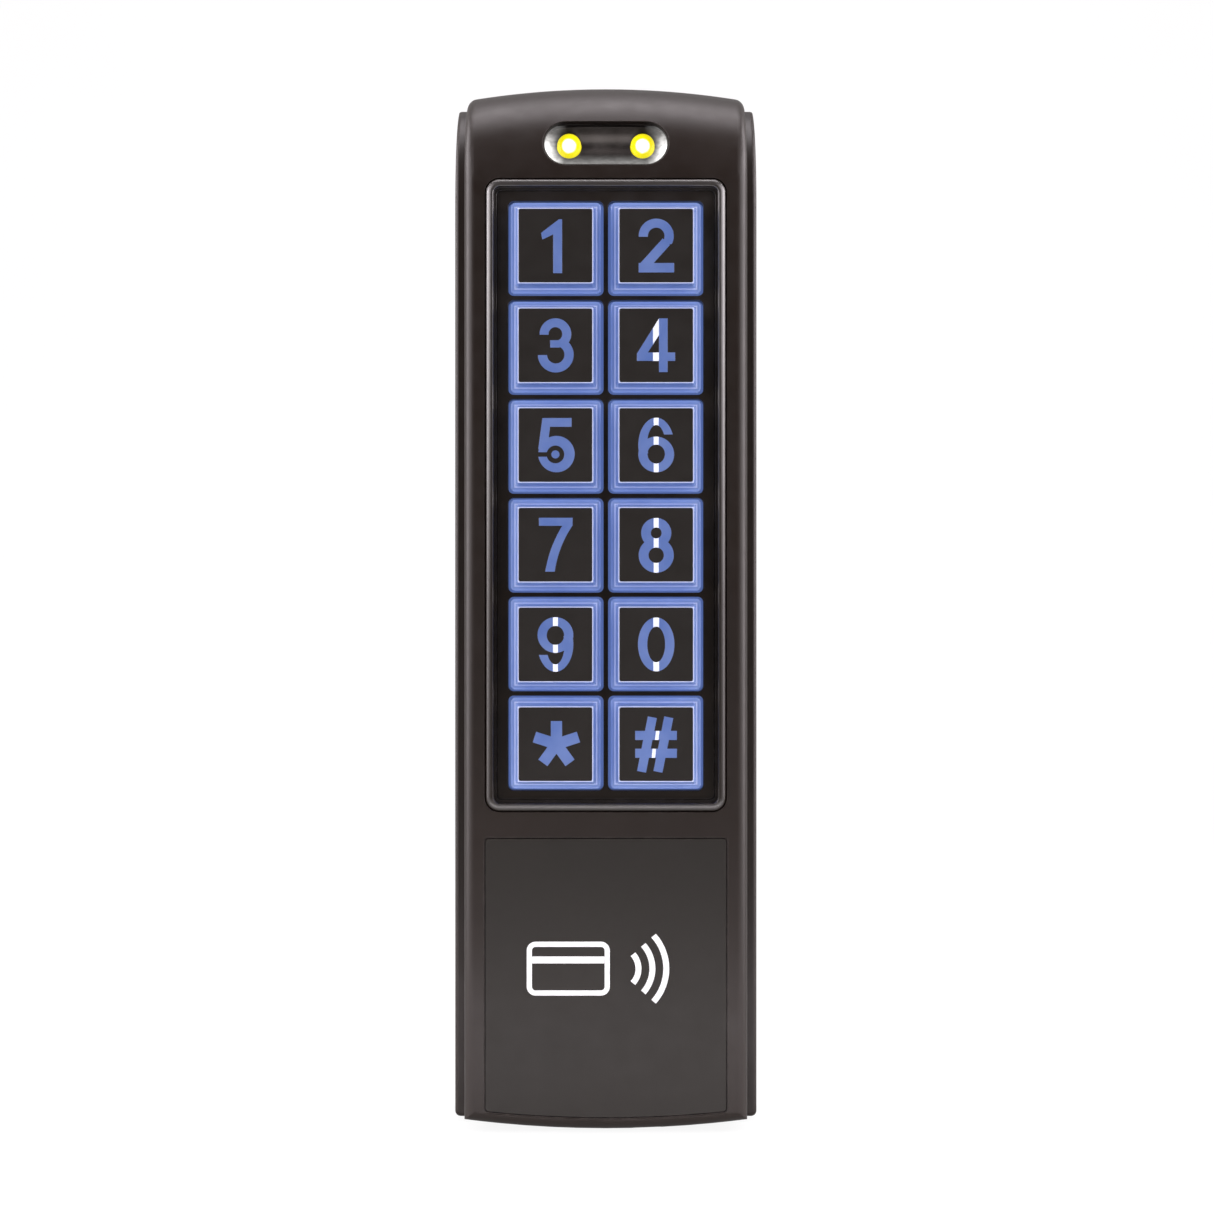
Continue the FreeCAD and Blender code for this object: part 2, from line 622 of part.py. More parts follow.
def keys_and_caps():
    """Twelve translucent keys, each with its own dark cap that the character shows through."""
    made = {}
    blank = key_blank()
    half = CAP_SIZE / 2
    plate = slab(-half, half, -half, half, KEY_TOP_Y, GLYPH_BACK, 0.28)
    shapes = glyphs()
    for name, x, z in key_places():
        mark, bridges = shapes[name]
        cuts = [mark]
        if bridges:
            webs = mark.common(bridges)
            mark = mark.cut(bridges)
            webs.translate(V(0, BRIDGE_STEP - CAP_THICK, 0))
            cuts = [mark, webs]
        key = union([blank, mark])
        cap = plate.cut(cuts)
        key.translate(V(x, 0, z))
        cap.translate(V(x, 0, z))
        made["key_" + name] = key
        made["key_cap_" + name] = cap
    return made


def dome_mat():
    """Silicone sheet with a hollow dome under each key and a stem inside it that carries the contact pill."""
    low = BEZEL_BOTTOM + 1.0
    high = BEZEL_TOP - 1.0
    sheet = slab(-PANEL_HALF, PANEL_HALF, low, high, PCB_FRONT - 1.0, PCB_FRONT, 1.0)
    domes = []
    cuts = []
    stems = []
    for _, x, z in key_places():
        lamp_z = z - LAMP_DROP
        domes.append(cone_y(x, z, 2.5, 4.2, DOME_TOP_Y, PCB_FRONT - 0.9))
        cuts.append(cone_y(x, z, 1.7, 3.4, DOME_TOP_Y + 0.9, PCB_FRONT + 0.01))
        cuts.append(box(x - 1.1, x + 1.1, PCB_FRONT - 2, PCB_FRONT + OVER, lamp_z - 0.6, lamp_z + 0.6))
        stems.append(rod_y(x, z, PILL_R, DOME_TOP_Y + 0.8, PILL_Y))
    return union([union([sheet] + domes).cut(cuts)] + stems)


def contact_pills():
    """Carbon pills on the dome stems, 1.05 mm off the board."""
    return Part.makeCompound([rod_y(x, z, PILL_R, PILL_Y, PILL_Y + 0.5) for _, x, z in key_places()])


def backlight_leds():
    lamps = []
    for _, x, z in key_places():
        lamp_z = z - LAMP_DROP
        lamp = box(x - 0.8, x + 0.8, PCB_FRONT - 0.7, PCB_FRONT, lamp_z - 0.4, lamp_z + 0.4)
        lamps.append(lamp.makeChamfer(0.15, edges_along(lamp, V(0, 1, 0))))
    return Part.makeCompound(lamps)


# ---- front trim and status lights ---------------------------------------------------------------------
def label_plate(extra, y0, y1):
    half = BEZEL_HALF + extra
    top = LABEL_TOP + extra
    side = LABEL_SIDE_BOTTOM - extra
    middle = LABEL_MID_BOTTOM - extra
    plate = outline_xz(y0, (
        ((-half, side), (0, middle), (half, side)),
        ((half, side), (half, top)),
        ((half, top), (-half, top)),
        ((-half, top), (-half, side)),
    )).extrude(V(0, y1 - y0, 0))
    return plate.makeFillet(0.5, edges_along(plate, V(0, 1, 0)))


def label_panel():
    return label_plate(0, FRONT_Y + 0.05, FRONT_Y + LABEL_THICK)


def led_reflector():
    """Dark bright-moulded trough behind the well, with a round-ended scoop and two lamp holes."""
    plate = pill(WELL_W + 2.4, WELL_H + 2.4, TROUGH_Y, TROUGH_BACK_Y, WELL_Z)
    plate = plate.common(spine(FRONT_WALL + SLIP, 18, -60, 1))
    half = WELL_H / 2 - 0.25
    r = (half ** 2 + TROUGH_DEPTH ** 2) / (2 * TROUGH_DEPTH)
    axis_y = TROUGH_Y + TROUGH_DEPTH - r
    reach = WELL_W / 2 - 0.25 - half
    scoop = union([rod_x(axis_y, WELL_Z, r, -reach, reach),
                   Part.makeSphere(r, V(-reach, axis_y, WELL_Z)),
                   Part.makeSphere(r, V(reach, axis_y, WELL_Z))])
    holes = [rod_y(s * LED_X, WELL_Z, LED_R + 0.06, -19, -15) for s in (-1, 1)]
    return plate.cut([scoop] + holes)


def status_led(x):
    barrel = rod_y(x, WELL_Z, LED_R, LED_TIP_Y + LED_R, PCB_FRONT)
    dome = Part.makeSphere(LED_R, V(x, LED_TIP_Y + LED_R, WELL_Z))
    collar = rod_y(x, WELL_Z, 2.1, PCB_FRONT - 1.1, PCB_FRONT)
    return union([barrel, dome, collar])


# ---- electronics --------------------------------------------------------------------------------------
def main_pcb():
    board = slab(-PCB_HALF, PCB_HALF, PCB_BOTTOM, PCB_TOP, PCB_FRONT, PCB_BACK, 1.5)
    y0 = PCB_FRONT - OVER
    y1 = PCB_BACK + OVER
    cuts = [rod_y(x, z, BOARD_HOLE_R, y0, y1) for x, z in bosses()]
    # notch round the lock screw's block
    cuts.append(slab(-5, 5, PCB_BOTTOM - 9, -68.5, y0, y1, 0.8))
    return board.cut(cuts)


def pcb_screws():
    made = []
    for x, z in bosses():
        head = rod_y(x, z, BOARD_SCREW_HEAD_R, PCB_BACK + 0.02, PCB_BACK + 1.4)
        head = head.makeFillet(0.5, crest_edges(head, PCB_BACK + 1.4))
        shank = rod_y(x, z, BOARD_SCREW_R, PCB_FRONT - 4.2, PCB_BACK + 0.1)
        slots = [box(x - 1.1, x + 1.1, PCB_BACK + 0.8, PCB_BACK + 2, z - 0.22, z + 0.22),
                 box(x - 0.22, x + 0.22, PCB_BACK + 0.8, PCB_BACK + 2, z - 1.1, z + 1.1)]
        made.append(union([head, shank]).cut(slots))
    return Part.makeCompound(made)


def chip(x, z, w, h, thick, legs_per_side, pitch, sides):
    """A moulded chip on the back of the board, with its legs along two or four sides."""
    y0 = PCB_BACK
    body = box(x - w / 2, x + w / 2, y0 + 0.1, y0 + thick, z - h / 2, z + h / 2)
    body = body.makeChamfer(0.12, body.Edges)
    pieces = [body]
    first = -(legs_per_side - 1) * pitch / 2
    half = LEG_W / 2
    reach_x = w / 2 + LEG
    reach_z = h / 2 + LEG
    for n in range(legs_per_side):
        leg_z = z + first + n * pitch
        pieces.append(box(x - reach_x, x + reach_x, y0, y0 + LEG_T, leg_z - half, leg_z + half))
        if sides == 4:
            leg_x = x + first + n * pitch
            pieces.append(box(leg_x - half, leg_x + half, y0, y0 + LEG_T, z - reach_z, z + reach_z))
    return union(pieces)


def crystal():
    can = slab(5.0, 9.2, 40.4, 43.6, PCB_BACK, PCB_BACK + 2.4, 1.5)
    skirt = slab(4.6, 9.6, 40.0, 44.0, PCB_BACK, PCB_BACK + 0.4, 1.7)
    return union([can.makeFillet(0.4, crest_edges(can, PCB_BACK + 2.4)), skirt])


def smd_parts():
    """Rows of small resistors and capacitors on the back of the board."""
    made = []
    for row, z in enumerate((49.5, 53.0, 14.5, -27.5)):
        for n in range(6):
            x = -12.5 + 4.6 * n
            w = 1.6 if (n + row) % 3 else 2.0
            part = box(x - w / 2, x + w / 2, PCB_BACK, PCB_BACK + 0.7, z - 0.45, z + 0.45)
            made.append(part.makeChamfer(0.12, edges_along(part, V(0, 0, 1))))
    return Part.makeCompound(made)


def buzzer():
    x, z, r = 9.0, 22.0, 6.0
    can = rod_y(x, z, r, PCB_BACK, PCB_BACK + 5.0)
    can = can.makeFillet(0.6, crest_edges(can, PCB_BACK + 5.0))
    return can.cut(rod_y(x, z, 1.0, PCB_BACK + 3.8, PCB_BACK + 6))


def antenna_former():
    """Thin frame behind the label that the coil is wound on."""
    half = COIL_HALF + 0.5
    frame = slab(-half, half, COIL_BOTTOM - 0.5, COIL_TOP + 0.5, FORMER_Y, FORMER_Y + 0.5, 3.5)
    inset = COIL_WIDTH + 0.05
    half = COIL_HALF - inset
    core = slab(-half, half, COIL_BOTTOM + inset, COIL_TOP - inset, FORMER_Y, FORMER_Y + 2.8, 2.0)
    inset = inset + 1.0
    half = COIL_HALF - inset
    opening = slab(-half, half, COIL_BOTTOM + inset, COIL_TOP - inset, FORMER_Y - 1, FORMER_Y + 4, 1.5)
    return union([frame, core]).cut(opening)


def antenna_coil():
    outer = slab(-COIL_HALF, COIL_HALF, COIL_BOTTOM, COIL_TOP, FORMER_Y + 0.55, FORMER_Y + 2.7, 3.2)
    half = COIL_HALF - COIL_WIDTH
    inner = slab(-half, half, COIL_BOTTOM + COIL_WIDTH, COIL_TOP - COIL_WIDTH, FORMER_Y, FORMER_Y + 4, 2.05)
    return outer.cut(inner)


def terminal_places():
    return [(n - (TERMINALS - 1) / 2) * TERMINAL_PITCH for n in range(TERMINALS)]


def terminal_block():
    half = TERMINALS * TERMINAL_PITCH / 2 + 0.2
    z0 = TERMINAL_Z - TERMINAL_DEPTH / 2
    z1 = TERMINAL_Z + TERMINAL_DEPTH / 2
    top = PCB_BACK + TERMINAL_HEIGHT
    block_body = box(-half, half, PCB_BACK, top, z0, z1)
    long_edges = [e for e in edges_along(block_body, V(1, 0, 0)) if e.Vertexes[0].Y > top - OVER]
    block_body = block_body.makeChamfer(0.8, long_edges)
    cuts = []
    for x in terminal_places():
        cuts.append(rod_y(x, TERMINAL_SCREW_Z, 1.35, PCB_BACK + 4.0, top + OVER))
        cuts.append(box(x - 1.2, x + 1.2, PCB_BACK + 0.9, PCB_BACK + 3.3, TERMINAL_Z + 0.5, z1 + OVER))
    return block_body.cut(cuts)


def terminal_screws():
    made = []
    for x in terminal_places():
        z = TERMINAL_SCREW_Z
        head = rod_y(x, z, 1.3, PCB_BACK + 4.0, PCB_BACK + 6.9)
        made.append(head.cut(box(x - 2, x + 2, PCB_BACK + 6.2, PCB_BACK + 8, z - 0.25, z + 0.25)))
    return Part.makeCompound(made)


# ---- tamper switch, its plunger and spring, and the lock screw -----------------------------------------
def tamper_switch():
    h = TAMPER_HALF
    body = box(TAMPER_X - h, TAMPER_X + h, PCB_BACK, PCB_BACK + TAMPER_THICK, TAMPER_Z - h, TAMPER_Z + h)
    body = body.makeChamfer(0.3, body.Edges)
    return body.cut(rod_y(TAMPER_X, TAMPER_Z, TAMPER_STEM_R + 0.08, PCB_BACK + 0.9, 0))


def tamper_plunger():
    stem = rod_y(TAMPER_X, TAMPER_Z, TAMPER_STEM_R, PCB_BACK + 2.4, -5.2)
    collar = rod_y(TAMPER_X, TAMPER_Z, COLLAR_R, COLLAR_Y, COLLAR_Y + 0.7)
    nose = rod_y(TAMPER_X, TAMPER_Z, TAMPER_STEM_R, COLLAR_Y + 0.6, -2 * PLATE - SLIP)
    nose = nose.makeFillet(0.4, crest_edges(nose, -2 * PLATE - SLIP))
    return union([stem, collar, nose])


def tamper_spring():
    """Free turns of wire between the switch and the plunger's collar."""
    y0 = PCB_BACK + TAMPER_THICK + WIRE_R + 0.02
    y1 = COLLAR_Y - WIRE_R - 0.02
    helix = Part.makeHelix((y1 - y0) / SPRING_TURNS, y1 - y0, SPRING_R)
    section = []
    for n in range(8):
        angle = math.radians(22.5 + 45 * n)
        section.append(V(SPRING_R + WIRE_R * math.cos(angle), 0, WIRE_R * math.sin(angle)))
    section.append(section[0])
    coil = Part.Wire(helix.Edges).makePipeShell([Part.makePolygon(section)], True, True)
    coil.rotate(V(0, 0, 0), V(1, 0, 0), -90)
    coil.translate(V(TAMPER_X, y0, TAMPER_Z))
    return coil


def lock_insert():
    """Threaded brass bush in the cover's lower edge."""
    bush = rod_z(0, LOCK_Y, INSERT_R, -73.9, -68.3)
    grooves = []
    for z in (-72.6, -71.1, -69.6):
        grooves.append(rod_z(0, LOCK_Y, 3, z - 0.25, z + 0.25).cut(rod_z(0, LOCK_Y, 2.0, z - 1, z + 1)))
    return bush.cut(grooves + [rod_z(0, LOCK_Y, LOCK_R + 0.05, -75, -67)])


def lock_screw():
    """Headless screw, drawn backed up into the cover; wound down, its tip enters the tray's bottom wall."""
    screw = rod_z(0, LOCK_Y, LOCK_R, -74.2, -68.0)
    screw = screw.makeChamfer(0.3, [e for e in screw.Edges if isinstance(e.Curve, Part.Circle)])
    flats = []
    for n in range(6):
        a0 = math.radians(60 * n)
        flats.append(V(0.85 * math.cos(a0), LOCK_Y + 0.85 * math.sin(a0), -74.5))
    socket = Part.Face(Part.makePolygon(flats + [flats[0]])).extrude(V(0, 0, 2.3))
    return screw.cut(socket)


def build():
    made = {
        "base_housing": base_housing(),
        "base_gasket": base_gasket(),
        "cable_grommet": cable_grommet(),
        "front_cover": front_cover(),
        "keypad_bezel": keypad_bezel(),
        "dome_mat": dome_mat(),
        "contact_pills": contact_pills(),
        "backlight_leds": backlight_leds(),
        "label_panel": label_panel(),
        "led_reflector": led_reflector(),
        "status_led_left": status_led(-LED_X),
        "status_led_right": status_led(LED_X),
        "main_pcb": main_pcb(),
        "pcb_screws": pcb_screws(),
        "microcontroller": chip(-3.0, 38.5, 9.0, 9.0, 1.3, 10, 0.8, 4),
        "rf_transceiver": chip(2.0, -47.0, 6.0, 8.6, 1.6, 7, 1.0, 2),
        "crystal": crystal(),
        "smd_parts": smd_parts(),
        "buzzer": buzzer(),
        "antenna_former": antenna_former(),
        "antenna_coil": antenna_coil(),
        "terminal_block": terminal_block(),
        "terminal_screws": terminal_screws(),
        "tamper_switch": tamper_switch(),
        "tamper_plunger": tamper_plunger(),
        "tamper_spring": tamper_spring(),
        "lock_insert": lock_insert(),
        "lock_screw": lock_screw(),
    }
    made.update(keys_and_caps())
    return made


os.makedirs("parts", exist_ok=True)
for node, shape in build().items():
    shape.exportStep("parts/" + node + ".step")
    print(node, len(shape.Solids), shape.isValid(), round(shape.Volume, 1))
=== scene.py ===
import json
import math

import bmesh
import bpy
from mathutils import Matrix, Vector


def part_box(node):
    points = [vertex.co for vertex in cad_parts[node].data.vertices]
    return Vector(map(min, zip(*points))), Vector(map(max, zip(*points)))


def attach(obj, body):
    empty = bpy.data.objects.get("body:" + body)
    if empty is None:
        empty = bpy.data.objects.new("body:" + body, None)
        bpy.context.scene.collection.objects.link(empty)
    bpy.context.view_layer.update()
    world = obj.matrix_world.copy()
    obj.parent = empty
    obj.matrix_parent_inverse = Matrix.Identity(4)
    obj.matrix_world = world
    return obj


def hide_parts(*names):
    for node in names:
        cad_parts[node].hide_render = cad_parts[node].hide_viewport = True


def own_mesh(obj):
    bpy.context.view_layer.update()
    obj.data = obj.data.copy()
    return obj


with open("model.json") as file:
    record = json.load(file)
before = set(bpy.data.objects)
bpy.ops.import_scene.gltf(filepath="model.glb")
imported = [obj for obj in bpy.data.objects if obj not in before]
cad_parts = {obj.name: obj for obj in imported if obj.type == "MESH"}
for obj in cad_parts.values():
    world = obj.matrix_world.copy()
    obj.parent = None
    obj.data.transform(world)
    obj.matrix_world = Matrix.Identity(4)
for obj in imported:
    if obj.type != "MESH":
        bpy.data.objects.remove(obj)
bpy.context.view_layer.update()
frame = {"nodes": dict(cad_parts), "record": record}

# Lengths are metres in the part's own frame: the wall is y = 0, the front faces -y, +z is up.
MM = 0.001
NODES = frame["nodes"]
RECORD = frame["record"]
BRIDGE_STEP = 0.06 * MM     # how far a stencil bridge lies below the cap's face
FINISH = {"keypad_bezel": "bezel_plastic"}
KEY_NAMES = ("1", "2", "3", "4", "5", "6", "7", "8", "9", "0", "star", "hash")
BEVEL_SAMPLES = 4

# The domes under the keys
SKIRT_R = 4.15 * MM
PILL_R = 1.5 * MM

# Specular levels on the bezel, and how much of them the panel round the keys keeps
DULL = 0.3
POLISHED = 0.95
PANEL_SHINE = 0.55

# Millimetres: how far below a lamp's middle its white-hot spot sits, and where the trough's round ends start
HOT_SPOT_DROP = 0.22
TROUGH_END_X = 5.8

# Distances out from a key's middle, in millimetres. Painted highlights lie on the bright crest round its cap
# and in
# the crease at the foot of its wall: bands that rise, are full, start to fade and end. The painted highlight
# on its rounded outer edge only rises.
CREST_HIGHLIGHT = (5.18, 5.26, 5.34, 5.44)
CREASE_HIGHLIGHT = (5.74, 5.84, 5.92, 6.02)
OUTER_EDGE_HIGHLIGHT = (6.1, 6.4)

# Places that the materials use, in millimetres
KEY_LOW, KEY_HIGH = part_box("key_2")
PITCH_X = (KEY_LOW.x + KEY_HIGH.x) / MM
FIRST_ROW_Z = (KEY_LOW.z + KEY_HIGH.z) / 2 / MM
PITCH_Z = FIRST_ROW_Z - (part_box("key_4")[0].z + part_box("key_4")[1].z) / 2 / MM
KEY_FACE_Y = KEY_LOW.y / MM
BEZEL_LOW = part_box("keypad_bezel")[0]
BEAD_Y = BEZEL_LOW.y / MM
BEZEL_FOOT_Z = BEZEL_LOW.z / MM
LAMP_LOW, LAMP_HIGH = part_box("status_led_right")
LAMP_X = (LAMP_LOW.x + LAMP_HIGH.x) / 2 / MM
LAMP_EDGE_X = LAMP_HIGH.x / MM
LAMP_Z = (LAMP_LOW.z + LAMP_HIGH.z) / 2 / MM


# ---- node graph helpers --------------------------------------------------------------------------------
def linear(red, green, blue):
    """A linear colour from 8-bit sRGB."""
    values = []
    for channel in (red, green, blue):
        c = channel / 255
        values.append(c / 12.92 if c <= 0.04045 else ((c + 0.055) / 1.055) ** 2.4)
    return (values[0], values[1], values[2], 1.0)


class Graph:
    """A material under construction. add() makes a node, wire() joins two sockets."""

    def __init__(self, name):
        self.material = bpy.data.materials.new(name)
        self.material.use_nodes = True
        self.tree = self.material.node_tree
        self.tree.nodes.clear()
        self.out = self.add("ShaderNodeOutputMaterial")
        self.coords = None

    def add(self, kind, **inputs):
        """A new node. Each keyword sets a property of the node or, failing that, the input of that name."""
        node = self.tree.nodes.new(kind)
        for key, value in inputs.items():
            if hasattr(node, key):
                setattr(node, key, value)
            else:
                node.inputs[key.replace("_", " ")].default_value = value
        return node

    def wire(self, source, target):
        self.tree.links.new(source, target)

    def millimetres(self):
        """Object coordinates scaled so that one unit is one millimetre."""
        if self.coords is None:
            place = self.add("ShaderNodeTexCoord")
            scaled = self.add("ShaderNodeVectorMath", operation="SCALE")
            scaled.inputs["Scale"].default_value = 1 / MM
            self.wire(place.outputs["Object"], scaled.inputs[0])
            self.coords = scaled.outputs[0]
        return self.coords

    def noise(self, scale, detail=3.0, roughness=0.5, squeeze=None):
        """Noise with scale cells to the millimetre; squeeze stretches it along an axis."""
        node = self.add("ShaderNodeTexNoise", Scale=scale, Detail=detail, Roughness=roughness)
        source = self.millimetres()
        if squeeze:
            mapping = self.add("ShaderNodeMapping")
            mapping.inputs["Scale"].default_value = squeeze
            self.wire(source, mapping.inputs["Vector"])
            source = mapping.outputs["Vector"]
        self.wire(source, node.inputs["Vector"])
        return node.outputs["Fac"]

    def remap(self, value, low, high, start=0.3, end=0.7):
        """A value between start and end moved to between low and high."""
        node = self.add("ShaderNodeMapRange")
        for socket, number in (("From Min", start), ("From Max", end), ("To Min", low), ("To Max", high)):
            node.inputs[socket].default_value = number
        self.wire(value, node.inputs["Value"])
        return node.outputs["Result"]

    def band(self, value, rise, full, fade, end):
        """1 between full and fade, falling to 0 at rise and at end."""
        up = self.remap(value, 0.0, 1.0, rise, full)
        down = self.remap(value, 1.0, 0.0, fade, end)
        return self.math("MULTIPLY", up, down)

    def position(self):
        """The node whose X, Y and Z outputs are the place in millimetres."""
        split = self.add("ShaderNodeSeparateXYZ")
        self.wire(self.millimetres(), split.inputs[0])
        return split

    def blend(self, factor, first, second):
        """Two colours mixed by a factor; either may be a socket or a colour."""
        node = self.add("ShaderNodeMix", data_type="RGBA")
        for socket, value in ((node.inputs[0], factor), (node.inputs[6], first), (node.inputs[7], second)):
            if isinstance(value, bpy.types.NodeSocket):
                self.wire(value, socket)
            else:
                socket.default_value = value
        return node.outputs[2]

    def math(self, operation, first, second=0.0):
        node = self.add("ShaderNodeMath", operation=operation)
        for socket, value in ((node.inputs[0], first), (node.inputs[1], second)):
            if isinstance(value, bpy.types.NodeSocket):
                self.wire(value, socket)
            else:
                socket.default_value = value
        return node.outputs[0]

    def length(self, first, second):
        """How far from the origin a point with these two coordinates is."""
        squares = self.math("ADD", self.math("MULTIPLY", first, first), self.math("MULTIPLY", second, second))
        return self.math("SQRT", squares)

    def edge_mask(self, radius):
        """Near 1 along outside and inside edges, 0 on open faces."""
        bevel = self.add("ShaderNodeBevel", Radius=radius)
        bevel.samples = BEVEL_SAMPLES
        geometry = self.add("ShaderNodeNewGeometry")
        dot = self.add("ShaderNodeVectorMath", operation="DOT_PRODUCT")
        self.wire(bevel.outputs["Normal"], dot.inputs[0])
        self.wire(geometry.outputs["Normal"], dot.inputs[1])
        return self.remap(dot.outputs["Value"], 1.0, 0.0, 0.85, 1.0)

    def bump(self, height, distance, strength=1.0, edge=0.0):
        """A bump over a slightly rounded normal, so that sharp edges catch a thin light."""
        node = self.add("ShaderNodeBump", Strength=strength, Distance=distance)
        self.wire(height, node.inputs["Height"])
        if edge:
            bevel = self.add("ShaderNodeBevel", Radius=edge)
            bevel.samples = BEVEL_SAMPLES
            self.wire(bevel.outputs["Normal"], node.inputs["Normal"])
        return node.outputs["Normal"]

    def surface(self, **inputs):
        """The finished surface. Values may be numbers, colours or sockets."""
        shader = self.add("ShaderNodeBsdfPrincipled")
        for key, value in inputs.items():
            socket = shader.inputs[key.replace("_", " ")]
            if isinstance(value, bpy.types.NodeSocket):
                self.wire(value, socket)
            else:
                socket.default_value = value
        self.wire(shader.outputs["BSDF"], self.out.inputs["Surface"])
        return self.material


# ---- materials -----------------------------------------------------------------------------------------
def moulded_plastic(name, colour, worn, roughness, grain=5.0, depth=0.006, polish=None, **extra):
    """Injection-moulded plastic: fine spark-eroded grain, faint cloudiness and paler handled edges.

    polish, if there is one, works out the specular level from the graph."""
    g = Graph(name)
    if polish:
        extra["Specular_IOR_Level"] = polish(g)
    cloud = g.remap(g.noise(0.06, 4.0), 0.0, 1.0)
    dark = tuple(c * 0.86 for c in colour[:3]) + (1.0,)
    base = g.blend(cloud, dark, colour)
    scuffs = g.remap(g.noise(0.5, 5.0, 0.65), 0.0, 1.0, 0.45, 0.7)
    edge = g.math("MULTIPLY", g.edge_mask(0.35 * MM), scuffs)
    base = g.blend(g.math("MULTIPLY", edge, 0.5), base, worn)
    fine = g.noise(grain, 2.0, 0.6)
    gloss = g.remap(g.noise(0.35, 4.0, 0.6), roughness - 0.04, roughness + 0.05)
    return g.surface(Base_Color=base, Roughness=gloss,
                     Normal=g.bump(fine, depth * MM, 0.35, 0.12 * MM), **extra)


def bead_polish(g):
    """The bezel's specular level: the bead shines most at its top and at its foot, the panel least."""
    place = g.position()
    rising = g.remap(place.outputs["Z"], DULL, POLISHED, 0.0, 56.0)
    foot = g.remap(place.outputs["Z"], POLISHED, DULL, BEZEL_FOOT_Z + 1.0, BEZEL_FOOT_Z + 2.0)
    raised = g.remap(place.outputs["Y"], 1.0, PANEL_SHINE, BEAD_Y + 0.8, BEAD_Y + 1.2)
    return g.math("MULTIPLY", g.math("MAXIMUM", rising, foot), raised)


def translucent_key():
    """Violet-blue light-passing moulding, a little lit from behind, with painted highlights round each key.
    """
    g = Graph("key_blue")
    deep = linear(82, 108, 170)
    pale = linear(128, 148, 196)
    place = g.position()
    low_down = g.remap(place.outputs["Y"], 0.0, 1.0, KEY_FACE_Y + 0.1, KEY_FACE_Y + 2.8)
    milky = g.remap(g.noise(0.25, 3.0), 0.0, 0.4)
    # painted light: the deeper a part of the key lies, the paler it is painted
    base = g.blend(g.math("ADD", milky, g.math("MULTIPLY", low_down, 0.6)), deep, pale)
    # how far out from the key's middle, in the square sense
    from_x = g.math("ABSOLUTE", g.math("SUBTRACT", g.math("ABSOLUTE", place.outputs["X"]), PITCH_X / 2))
    rows = g.math("DIVIDE", g.math("SUBTRACT", place.outputs["Z"], FIRST_ROW_Z), PITCH_Z)
    from_z = g.math("ABSOLUTE", g.math("SUBTRACT", rows, g.math("ROUND", rows)))
    outward = g.math("MAXIMUM", from_x, g.math("MULTIPLY", from_z, PITCH_Z))
    # painted highlights: near-white bands along the crest round the cap and in the crease at the foot of the
    # wall
    crest = g.math("MULTIPLY", g.band(outward, *CREST_HIGHLIGHT), g.remap(low_down, 1.0, 0.0, 0.02, 0.09))
    crease = g.math("MULTIPLY", g.band(outward, *CREASE_HIGHLIGHT), g.remap(low_down, 0.0, 1.0, 0.8, 1.0))
    bright = g.math("MAXIMUM", g.math("MULTIPLY", crest, 0.8), g.math("MULTIPLY", crease, 0.5))
    base = g.blend(bright, base, linear(214, 220, 246))
    # painted glow: backlight on the deeper walls, plus painted highlights on the crest, crease and outer edge
    backlight_and_highlight_glow = g.math("ADD", g.remap(low_down, 0.18, 0.34, 0.0, 1.0), g.math("MULTIPLY", bright, 0.2))
    backlight_and_highlight_glow = g.math("ADD", backlight_and_highlight_glow, g.remap(outward, 0.0, 0.22, *OUTER_EDGE_HIGHLIGHT))
    fine = g.noise(3.0, 2.0, 0.6)
    gloss = g.remap(g.noise(0.8, 3.0), 0.3, 0.42)
    # the emission colour turns near-white along the painted highlights
    return g.surface(
        Base_Color=base, Roughness=gloss, Normal=g.bump(fine, 0.004 * MM, 0.3, 0.1 * MM),
        Subsurface_Weight=0.25, Subsurface_Radius=(0.6, 0.7, 1.2), Subsurface_Scale=0.3 * MM,
        Coat_Weight=0.15, Coat_Roughness=0.2, Emission_Strength=backlight_and_highlight_glow,
        Emission_Color=g.blend(bright, linear(100, 124, 186), linear(196, 206, 240)))


def lamp_lens():
    """A lit lamp: white-hot in the middle and yellow round it. It looks bright but lights little round it."""
    g = Graph("led_lens")
    place = g.position()
    across = g.math("SUBTRACT", g.math("ABSOLUTE", place.outputs["X"]), LAMP_X)
    up = g.math("SUBTRACT", place.outputs["Z"], LAMP_Z - HOT_SPOT_DROP)
    radius = g.math("ADD", g.length(across, up), g.remap(g.noise(1.5, 2.0), -0.04, 0.04))
    core = g.remap(radius, 1.0, 0.0, 0.84, 1.12)
    colour = g.blend(core, linear(242, 228, 0), (1.0, 1.0, 1.0, 1.0))
    path = g.add("ShaderNodeLightPath")
    seen = path.outputs["Is Camera Ray"]
    shine = g.math("MULTIPLY", g.remap(core, 0.82, 1.5, 0.0, 1.0), g.remap(seen, 0.02, 1.0, 0.0, 1.0))
    body = g.blend(seen, (0.05, 0.05, 0.05, 1.0), linear(230, 214, 30))
    return g.surface(Base_Color=body, Roughness=0.18, Emission_Color=colour, Emission_Strength=shine)


